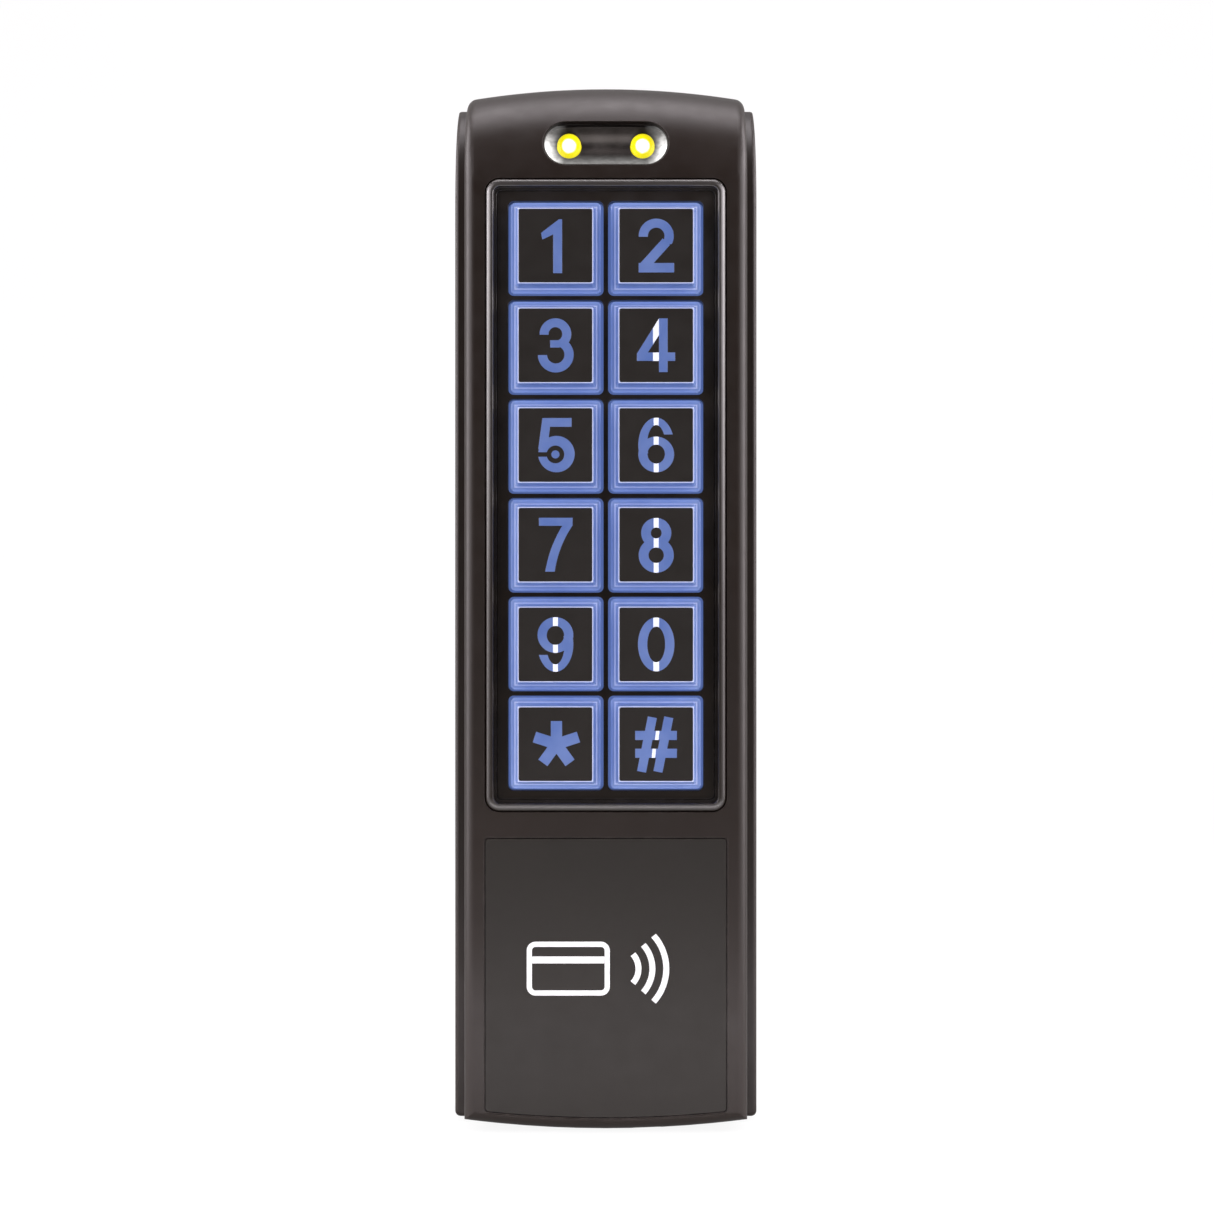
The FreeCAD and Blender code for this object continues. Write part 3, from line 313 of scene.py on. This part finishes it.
def bright_moulding():
    """Metallised trough: satin bright, with painted highlights glowing at its ends and along its lower lip.
    """
    g = Graph("bright_black")
    place = g.position()
    along = g.math("ABSOLUTE", place.outputs["X"])
    up = g.math("SUBTRACT", place.outputs["Z"], LAMP_Z)
    # painted highlights: a white glow at the trough's ends beside the lamps and along its lower lip, broken
    # into streaks
    past_end = g.math("MAXIMUM", g.math("SUBTRACT", along, TROUGH_END_X), 0.0)
    rim = g.remap(g.length(past_end, up), 0.0, 1.0, 1.1, 2.5)
    end = g.remap(along, 0.0, 1.0, LAMP_EDGE_X - 1.8, LAMP_EDGE_X + 0.9)
    end = g.math("MULTIPLY", end, g.remap(up, 1.25, 0.16, -0.4, 1.7))
    under = g.remap(up, 1.0, 0.0, -2.2, -0.6)
    streaks = g.remap(g.noise(1.1, 2.0, 0.5, (1.0, 1.0, 2.2)), 0.85, 1.5)
    lit = g.math("MAXIMUM", g.math("MULTIPLY", under, 0.21), end)
    glow = g.math("MULTIPLY", g.math("MULTIPLY", rim, lit), streaks)
    base = g.blend(g.remap(g.noise(0.4, 3.0), 0.0, 1.0), linear(118, 112, 108), linear(136, 130, 126))
    gloss = g.remap(g.noise(0.8, 3.0), 0.3, 0.38)
    return g.surface(Base_Color=base, Metallic=0.9, Roughness=gloss, Emission_Color=(1.0, 0.99, 0.97, 1.0),
                     Emission_Strength=glow, Normal=g.bump(g.noise(0.6, 1.0), 0.004 * MM, 0.1, 0.08 * MM))


def rubber(name, colour, roughness=0.75, **extra):
    """Rubber or silicone: cloudy, a little dusty, with a fine matt grain."""
    g = Graph(name)
    cloud = g.remap(g.noise(0.3, 4.0), 0.0, 1.0)
    dusty = tuple(min(1.0, c * 1.5 + 0.01) for c in colour[:3]) + (1.0,)
    base = g.blend(g.math("MULTIPLY", cloud, 0.5), colour, dusty)
    return g.surface(Base_Color=base, Roughness=g.remap(g.noise(1.0), roughness - 0.08, roughness + 0.08),
                     Normal=g.bump(g.noise(4.0, 3.0), 0.01 * MM, 0.4, 0.1 * MM), **extra)


def metal(name, colour, roughness=0.3, squeeze=(1.0, 1.0, 1.0), stain=0.25):
    """Plated, drawn or turned metal with fine machining lines and slight tarnish."""
    g = Graph(name)
    tarnish = tuple(c * 0.6 for c in colour[:3]) + (1.0,)
    base = g.blend(g.math("MULTIPLY", g.remap(g.noise(0.5, 4.0, 0.6), 0.0, 1.0), stain), colour, tarnish)
    lines = g.noise(3.0, 4.0, 0.6, squeeze)
    gloss = g.remap(lines, roughness - 0.08, roughness + 0.12)
    return g.surface(Base_Color=base, Metallic=1.0, Roughness=gloss,
                     Normal=g.bump(lines, 0.006 * MM, 0.35, 0.08 * MM))


def circuit_board():
    """Green solder mask with faint tracks under it, and a glass-fibre edge."""
    g = Graph("board_green")
    tracks = g.add("ShaderNodeTexBrick", Scale=0.35)
    tracks.offset = 0.37
    tracks.squash = 0.6
    for socket, value in (("Mortar Size", 0.06), ("Brick Width", 1.7), ("Row Height", 0.42)):
        tracks.inputs[socket].default_value = value
    turn = g.add("ShaderNodeMapping")
    turn.inputs["Rotation"].default_value = (math.pi / 2, 0.0, 0.0)
    g.wire(g.millimetres(), turn.inputs["Vector"])
    g.wire(turn.outputs["Vector"], tracks.inputs["Vector"])
    mask = tracks.outputs["Fac"]
    copper = g.blend(mask, linear(14, 74, 40), linear(36, 110, 58))
    base = g.blend(g.remap(g.noise(0.2, 3.0), 0.0, 0.35), copper, linear(12, 60, 36))
    geometry = g.add("ShaderNodeNewGeometry")
    split = g.add("ShaderNodeSeparateXYZ")
    g.wire(geometry.outputs["Normal"], split.inputs[0])
    on_face = g.remap(g.math("ABSOLUTE", split.outputs["Y"]), 0.0, 1.0, 0.4, 0.6)
    base = g.blend(on_face, linear(150, 148, 96), base)
    return g.surface(Base_Color=base, Roughness=0.32, Normal=g.bump(mask, 0.03 * MM, 0.5), Coat_Weight=0.3)


def copper_winding():
    """Enamelled wire laid in rows round the former."""
    g = Graph("copper_wire")
    wave = g.add("ShaderNodeTexWave", Scale=1.2)
    wave.wave_type = "BANDS"
    wave.bands_direction = "Y"
    g.wire(g.millimetres(), wave.inputs["Vector"])
    base = g.blend(wave.outputs["Fac"], linear(96, 42, 20), linear(196, 104, 52))
    return g.surface(Base_Color=base, Metallic=0.85, Roughness=g.remap(g.noise(2.0), 0.25, 0.4),
                     Normal=g.bump(wave.outputs["Fac"], 0.1 * MM, 0.7))


def printed_white():
    """White ink, slightly uneven, with a faint painted glow that brightens it."""
    g = Graph("printed_white")
    base = g.blend(g.remap(g.noise(1.5, 4.0), 0.0, 1.0), linear(214, 214, 216), linear(238, 238, 240))
    # painted glow: the ink emits a little of its own colour
    return g.surface(Base_Color=base, Roughness=g.remap(g.noise(3.0), 0.45, 0.6), Emission_Color=base,
                     Emission_Strength=0.35, Normal=g.bump(g.noise(6.0), 0.01 * MM, 0.3))


def lit_bridge():
    """Thin webs across the characters, pale, with a painted highlight glow."""
    g = Graph("lit_bridge")
    base = g.blend(g.remap(g.noise(1.8, 3.0), 0.0, 1.0), linear(214, 222, 244), linear(250, 252, 255))
    # painted highlight: the webs glow near-white
    return g.surface(Base_Color=base, Roughness=0.4, Normal=g.bump(g.noise(4.0), 0.01 * MM, 0.3),
                     Emission_Color=base, Emission_Strength=0.45)


def make_materials():
    """One finished material for each of the record's slots, and three more that the pieces need."""
    return {
        "shell_plastic": moulded_plastic("shell_plastic", linear(33, 23, 17), linear(70, 61, 58), 0.4),
        "bezel_plastic": moulded_plastic("bezel_plastic", linear(30, 22, 15), linear(80, 74, 76), 0.34,
                                         3.0, 0.003, bead_polish, IOR=1.75),
        "label_plastic": moulded_plastic("label_plastic", linear(29, 24, 18), linear(74, 68, 62), 0.5,
                                         3.0, 0.003),
        "cap_dark": moulded_plastic("cap_dark", linear(22, 16, 10), linear(50, 43, 40), 0.5, 4.0, 0.004),
        "chip_black": moulded_plastic("chip_black", linear(34, 34, 36), linear(84, 84, 86), 0.55, 3.0, 0.02),
        "former_plastic": moulded_plastic("former_plastic", linear(196, 192, 182), linear(222, 220, 214),
                                          0.5),
        "terminal_green": moulded_plastic("terminal_green", linear(38, 128, 70), linear(96, 176, 120), 0.45),
        "lamp_chip": moulded_plastic("lamp_chip", linear(214, 218, 232), linear(240, 240, 246), 0.25),
        "black_rubber": rubber("black_rubber", linear(30, 29, 29)),
        "carbon_pill": rubber("carbon_pill", linear(28, 28, 30), 0.6),
        "grey_silicone": rubber("grey_silicone", linear(176, 180, 186), 0.45, Subsurface_Weight=0.2,
                                Subsurface_Scale=1.0 * MM),
        "bright_black": bright_moulding(),
        "led_lens": lamp_lens(),
        "board_green": circuit_board(),
        "copper_wire": copper_winding(),
        "screw_steel": metal("screw_steel", linear(190, 190, 188), 0.32),
        "can_metal": metal("can_metal", linear(196, 196, 196), 0.3, (1.0, 1.0, 6.0)),
        "spring_steel": metal("spring_steel", linear(200, 200, 200), 0.22),
        "brass": metal("brass", linear(204, 168, 92), 0.28, (1.0, 1.0, 5.0)),
        "key_blue": translucent_key(),
        "printed_white": printed_white(),
        "lit_bridge": lit_bridge(),
    }


# ---- geometry helpers ----------------------------------------------------------------------------------
def new_piece(name, mesh, material, body):
    """An object that rides on a body and takes the material it is given."""
    piece = bpy.data.objects.new(name, mesh)
    bpy.context.scene.collection.objects.link(piece)
    mesh.materials.append(material)
    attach(piece, body)
    return piece


def light_bridges(cap, lit):
    """The stencil bridges lie a little below the cap's face; their faces get the pale finish with a painted
    highlight glow.
    """
    face_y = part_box(cap.name)[0].y
    cap.data.materials.append(lit)
    for polygon in cap.data.polygons:
        below = polygon.center.y - face_y
        if polygon.normal.y < -0.9 and BRIDGE_STEP * 0.5 < below < BRIDGE_STEP * 1.5:
            polygon.material_index = 1


def dress_cad_nodes(materials):
    """Gives each CAD node its slot's material, or its own finish, and the stencil bridges theirs."""
    slots = {entry["node"]: entry["material_slot"] for entry in RECORD["subparts"]}
    for name, node in NODES.items():
        node.data.materials.clear()
        node.data.materials.append(materials[FINISH.get(name, slots[name])])
    for key in KEY_NAMES:
        light_bridges(NODES["key_cap_" + key], materials["lit_bridge"])


def lathe(shape, profile, x, z, material_index=0, segments=36):
    """Adds a solid turned about the line through (x, z) along y. The profile lists (radius, y), in order."""
    rings = []
    for radius, y in profile:
        if radius == 0:
            rings.append([shape.verts.new((x, y, z))])
            continue
        ring = []
        for n in range(segments):
            angle = 2 * math.pi * n / segments
            ring.append(shape.verts.new((x + radius * math.cos(angle), y, z + radius * math.sin(angle))))
        rings.append(ring)
    closed = profile[0][0] > 0
    for n in range(len(rings) - (0 if closed else 1)):
        first = rings[n]
        second = rings[(n + 1) % len(rings)]
        for k in range(segments):
            a = first[k % len(first)]
            b = first[(k + 1) % len(first)]
            c = second[(k + 1) % len(second)]
            d = second[k % len(second)]
            face = shape.faces.new(list(dict.fromkeys((a, b, c, d))))
            face.material_index = material_index


def finished_mesh(shape, name, sharp_degrees=35.0):
    """Turns a bmesh into a mesh with faces outward, smooth except over sharp angles."""
    bmesh.ops.recalc_face_normals(shape, faces=shape.faces)
    for face in shape.faces:
        face.smooth = True
    mesh = bpy.data.meshes.new(name)
    shape.to_mesh(mesh)
    shape.free()
    mesh.set_sharp_from_angle(angle=math.radians(sharp_degrees))
    return mesh


def key_middle(key):
    low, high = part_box("key_" + key)
    return (low.x + high.x) / 2, (low.z + high.z) / 2


def silicone_sheet(materials, middles):
    """The mat without its domes."""
    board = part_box("dome_mat")[1].y
    shape = bmesh.new()
    shape.from_mesh(NODES["dome_mat"].data)
    dome_faces = []
    for face in shape.faces:
        spot = face.calc_center_median()
        near = min(math.hypot(spot.x - x, spot.z - z) for x, z in middles)
        if near < SKIRT_R - 0.015 * MM and spot.y < board - 0.05 * MM:
            dome_faces.append(face)
    bmesh.ops.delete(shape, geom=dome_faces, context="FACES")
    bmesh.ops.remove_doubles(shape, verts=shape.verts, dist=0.001 * MM)
    sheet = new_piece("silicone_sheet", finished_mesh(shape, "silicone_sheet"),
                      materials["grey_silicone"], "front")
    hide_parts("dome_mat")


def dome_skirt(materials, key, x, z):
    """The thin cone round a dome. On the real mat it folds against the board as the key goes down; this one
    stays with the front.
    """
    low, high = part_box("dome_mat")
    top = low.y
    board = high.y
    shape = bmesh.new()
    outside = ((2.50 * MM, top), (SKIRT_R, board - 1.0 * MM), (SKIRT_R, board - 0.3 * MM))
    inside = ((3.45 * MM, board - 0.02 * MM), (1.75 * MM, top + 0.9 * MM), (2.10 * MM, top + 0.05 * MM))
    lathe(shape, outside + inside, x, z)
    name = "dome_skirt_" + key
    skirt = new_piece(name, finished_mesh(shape, name), materials["grey_silicone"], "front")
    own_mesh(skirt)
    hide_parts("dome_mat")


def dome_core(materials, key, x, z):
    """A dome's solid middle with the carbon pill under it. It moves with its key."""
    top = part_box("dome_mat")[0].y
    pill_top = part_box("contact_pills")[0].y
    pill_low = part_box("contact_pills")[1].y
    head = ((0, top - 0.02 * MM), (2.35 * MM, top - 0.02 * MM), (2.48 * MM, top + 0.10 * MM))
    neck = ((2.20 * MM, top + 0.85 * MM), (PILL_R, top + 0.90 * MM), (PILL_R, pill_top), (0, pill_top))
    pill = ((0, pill_top), (PILL_R, pill_top), (PILL_R, pill_low - 0.08 * MM), (1.42 * MM, pill_low),
            (0, pill_low))
    shape = bmesh.new()
    lathe(shape, head + neck, x, z)
    lathe(shape, pill, x, z, material_index=1)
    name = "dome_core_" + key
    core = new_piece(name, finished_mesh(shape, name), materials["grey_silicone"], "key_" + key + "_button")
    core.data.materials.append(materials["carbon_pill"])
    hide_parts("dome_mat", "contact_pills")


def silicone_mat(materials):
    """The mat under the keys: the sheet and each skirt stay with the front, and each core moves with its key.
    """
    middles = [key_middle(key) for key in KEY_NAMES]
    silicone_sheet(materials, middles)
    for key, (x, z) in zip(KEY_NAMES, middles):
        dome_skirt(materials, key, x, z)
        dome_core(materials, key, x, z)


def plunger_spring(materials):
    """A coil spring for the tamper plunger. The real one shortens as the plunger is pushed in; this one stays
    with the front at one length.
    """
    low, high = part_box("tamper_spring")
    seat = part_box("tamper_switch")[1].y
    collar = high.y + 0.02 * MM
    axis_x = (low.x + high.x) / 2
    axis_z = (low.z + high.z) / 2
    wire = 0.2 * MM
    radius = (high.x - low.x) / 2 - wire
    start = seat + wire
    end = collar - wire
    turns = 5.5
    dead_turns = 0.75    # at each end these lie flat against their seat
    steps = 132
    sides = 10
    shape = bmesh.new()
    previous = None
    for n in range(steps + 1):
        turned = turns * n / steps
        angle = 2 * math.pi * turned
        rise = min(1.0, max(0.0, (turned - dead_turns) / (turns - 2 * dead_turns)))
        out = Vector((math.cos(angle), 0, math.sin(angle)))
        centre = Vector((axis_x, start + (end - start) * rise, axis_z)) + out * radius
        ring = []
        for k in range(sides):
            turn = 2 * math.pi * k / sides
            offset = out * (wire * math.cos(turn)) + Vector((0, wire * math.sin(turn), 0))
            ring.append(shape.verts.new(centre + offset))
        if previous:
            for k in range(sides):
                shape.faces.new((previous[k], previous[(k + 1) % sides], ring[(k + 1) % sides], ring[k]))
        else:
            shape.faces.new(ring)
        previous = ring
    shape.faces.new(previous)
    spring = new_piece("tamper_coil", finished_mesh(shape, "tamper_coil", 50.0), materials["spring_steel"],
                       "front")
    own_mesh(spring)
    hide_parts("tamper_spring")


def ribbon(shape, middle_line, width, back, front, closed):
    """Adds a flat band of a given width that follows a line of (x, z) points, from y = back to y = front."""
    count = len(middle_line)
    rings = []
    for n, (x, z) in enumerate(middle_line):
        before = middle_line[(n - 1) % count] if closed or n else middle_line[n]
        after = middle_line[(n + 1) % count] if closed or n < count - 1 else middle_line[n]
        along = Vector((after[0] - before[0], 0, after[1] - before[1])).normalized()
        side = Vector((-along.z, 0, along.x)) * (width / 2)
        here = Vector((x, 0, z))
        ring = []
        for offset, y in ((side, back), (side, front), (-side, front), (-side, back)):
            ring.append(shape.verts.new(here + offset + Vector((0, y, 0))))
        rings.append(ring)
    last = count if closed else count - 1
    for n in range(last):
        first = rings[n]
        second = rings[(n + 1) % count]
        for k in range(4):
            shape.faces.new((first[k], first[(k + 1) % 4], second[(k + 1) % 4], second[k]))
    if not closed:
        shape.faces.new(rings[0])
        shape.faces.new(rings[-1])


def rounded_frame(cx, cz, half_w, half_h, r):
    """Points round a rectangle with rounded corners."""
    points = []
    for corner, (sx, sz) in enumerate(((1, 1), (-1, 1), (-1, -1), (1, -1))):
        for n in range(9):
            angle = math.radians(90 * corner + 90 * n / 8)
            x = cx + sx * (half_w - r) + r * math.cos(angle)
            z = cz + sz * (half_h - r) + r * math.sin(angle)
            points.append((x, z))
    return points


def label_pictogram(materials):
    """Pad-printed sign on the label: a card held up to a reader's waves."""
    face_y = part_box("label_panel")[0].y
    back = face_y + 0.01 * MM
    front = face_y - 0.02 * MM
    card_x = -5.4 * MM
    card_half_w = 5.6 * MM
    middle_z = -53.0 * MM
    shape = bmesh.new()
    card = rounded_frame(card_x, middle_z, card_half_w, 3.5 * MM, 0.9 * MM)
    ribbon(shape, card, 0.75 * MM, back, front, True)
    stripe_half = card_half_w - 0.4 * MM
    stripe_z = middle_z + 1.25 * MM
    stripe = [(card_x - stripe_half, stripe_z), (card_x + stripe_half, stripe_z)]
    ribbon(shape, stripe, 1.0 * MM, back, front, False)
    waves_x = 1.6 * MM
    reach = math.radians(42)
    for n in range(3):
        radius = (3.1 + 2.0 * n) * MM
        arc = []
        for step in range(17):
            angle = -reach + 2 * reach * step / 16
            arc.append((waves_x + radius * math.cos(angle), middle_z + radius * math.sin(angle)))
        ribbon(shape, arc, 0.85 * MM, back, front, False)
    new_piece("label_pictogram", finished_mesh(shape, "label_pictogram"), materials["printed_white"],
              "front")


def backdrop():
    """A pale floor that curves up into a pale wall. The camera sees it brighter than the reader does."""
    floor_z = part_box("base_housing")[0].z - 0.4 * MM
    front = -0.9
    rear = 0.75
    bend = 0.25
    top = 1.1
    half = 1.4
    profile = [(front, floor_z)]
    for step in range(13):
        angle = math.radians(-90 + 90 * step / 12)
        profile.append((rear - bend + bend * math.cos(angle), floor_z + bend + bend * math.sin(angle)))
    profile.append((rear, top))
    shape = bmesh.new()
    left = [shape.verts.new((-half, y, z)) for y, z in profile]
    right = [shape.verts.new((half, y, z)) for y, z in profile]
    for n in range(len(profile) - 1):
        face = shape.faces.new((left[n], right[n], right[n + 1], left[n + 1]))
        face.smooth = True
    mesh = bpy.data.meshes.new("backdrop")
    shape.to_mesh(mesh)
    shape.free()
    g = Graph("backdrop_paper")
    base = g.blend(g.remap(g.noise(0.02, 4.0), 0.0, 1.0), (0.80, 0.80, 0.80, 1.0), (0.84, 0.84, 0.84, 1.0))
    shader = g.add("ShaderNodeBsdfDiffuse")
    glow = g.add("ShaderNodeEmission", Strength=1.05)
    path = g.add("ShaderNodeLightPath")
    seen = path.outputs["Is Camera Ray"]
    mix = g.add("ShaderNodeMixShader")
    g.wire(g.blend(seen, (0.3, 0.3, 0.3, 1.0), base), shader.inputs["Color"])
    g.wire(g.remap(seen, 0.35, 0.86, 0.0, 1.0), mix.inputs[0])
    g.wire(shader.outputs[0], mix.inputs[1])
    g.wire(glow.outputs[0], mix.inputs[2])
    g.wire(mix.outputs[0], g.out.inputs["Surface"])
    mesh.materials.append(g.material)
    paper = bpy.data.objects.new("backdrop", mesh)
    bpy.context.scene.collection.objects.link(paper)


def softbox(name, place, target, width, height, power):
    """A soft rectangular light, in metres and watts, turned to face a target and hidden from the camera."""
    light = bpy.data.lights.new(name, "AREA")
    light.shape = "RECTANGLE"
    light.size = width
    light.size_y = height
    light.energy = power
    light.color = (1.0, 0.93, 0.96)
    lamp = bpy.data.objects.new(name, light)
    lamp.location = place
    lamp.rotation_euler = (Vector(target) - Vector(place)).to_track_quat("-Z", "Y").to_euler()
    lamp.visible_camera = False
    bpy.context.scene.collection.objects.link(lamp)


def studio():
    """Soft boxes above and at both sides light the edges. In front it is dim, so the face stays dark."""
    softbox("light_top", (0.0, 0.06, 0.62), (0.0, 0.0, 0.05), 0.6, 0.3, 2.3)
    softbox("light_brow", (0.0, -0.48, 0.36), (0.0, 0.0, 0.06), 0.5, 0.22, 0.06)
    for side, name in ((-1, "left"), (1, "right")):
        softbox("light_" + name, (0.55 * side, -0.07, -0.1), (0.0, -0.01, -0.03), 0.3, 0.85, 4.9)
        softbox("kicker_" + name, (0.43 * side, -0.34, 0.2), (0.0, -0.01, 0.02), 0.36, 0.45, 1.5)
        softbox("rim_" + name, (0.5 * side, 0.1, 0.34), (0.0, -0.01, 0.06), 0.3, 0.3, 1.5)
    softbox("light_low", (0.0, -0.077, -0.0715), (0.0, -0.0225, -0.074), 0.2, 0.01, 0.027)
    world = bpy.data.worlds.new("room")
    bpy.context.scene.world = world
    world.use_nodes = True
    tree = world.node_tree
    background = tree.nodes["Background"]
    background.inputs["Color"].default_value = (0.96, 0.96, 1.0, 1.0)
    place = tree.nodes.new("ShaderNodeTexCoord")
    split = tree.nodes.new("ShaderNodeSeparateXYZ")
    tree.links.new(place.outputs["Generated"], split.inputs[0])
    ramp = tree.nodes.new("ShaderNodeMapRange")
    for socket, number in (("From Min", -0.9), ("From Max", 0.3), ("To Min", 0.01), ("To Max", 0.5)):
        ramp.inputs[socket].default_value = number
    tree.links.new(split.outputs["Y"], ramp.inputs["Value"])
    tree.links.new(ramp.outputs["Result"], background.inputs["Strength"])


def camera():
    """Level camera, straight in front and a little below the middle."""
    distance = 400 * MM
    aside = 0.17 * MM
    height = -1.0 * MM
    lens = bpy.data.cameras.new("camera")
    lens.sensor_width = 36.0
    lens.lens = 82.5
    lens.clip_start = 0.01
    view = bpy.data.objects.new("camera", lens)
    front_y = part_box("front_cover")[0].y
    view.location = (aside, front_y - distance, height)
    view.rotation_euler = (math.pi / 2, 0.0, 0.0)
    bpy.context.scene.collection.objects.link(view)
    bpy.context.scene.camera = view


materials = make_materials()
dress_cad_nodes(materials)
silicone_mat(materials)
plunger_spring(materials)
label_pictogram(materials)
backdrop()
studio()
camera()
bpy.context.scene.view_settings.view_transform = "Standard"
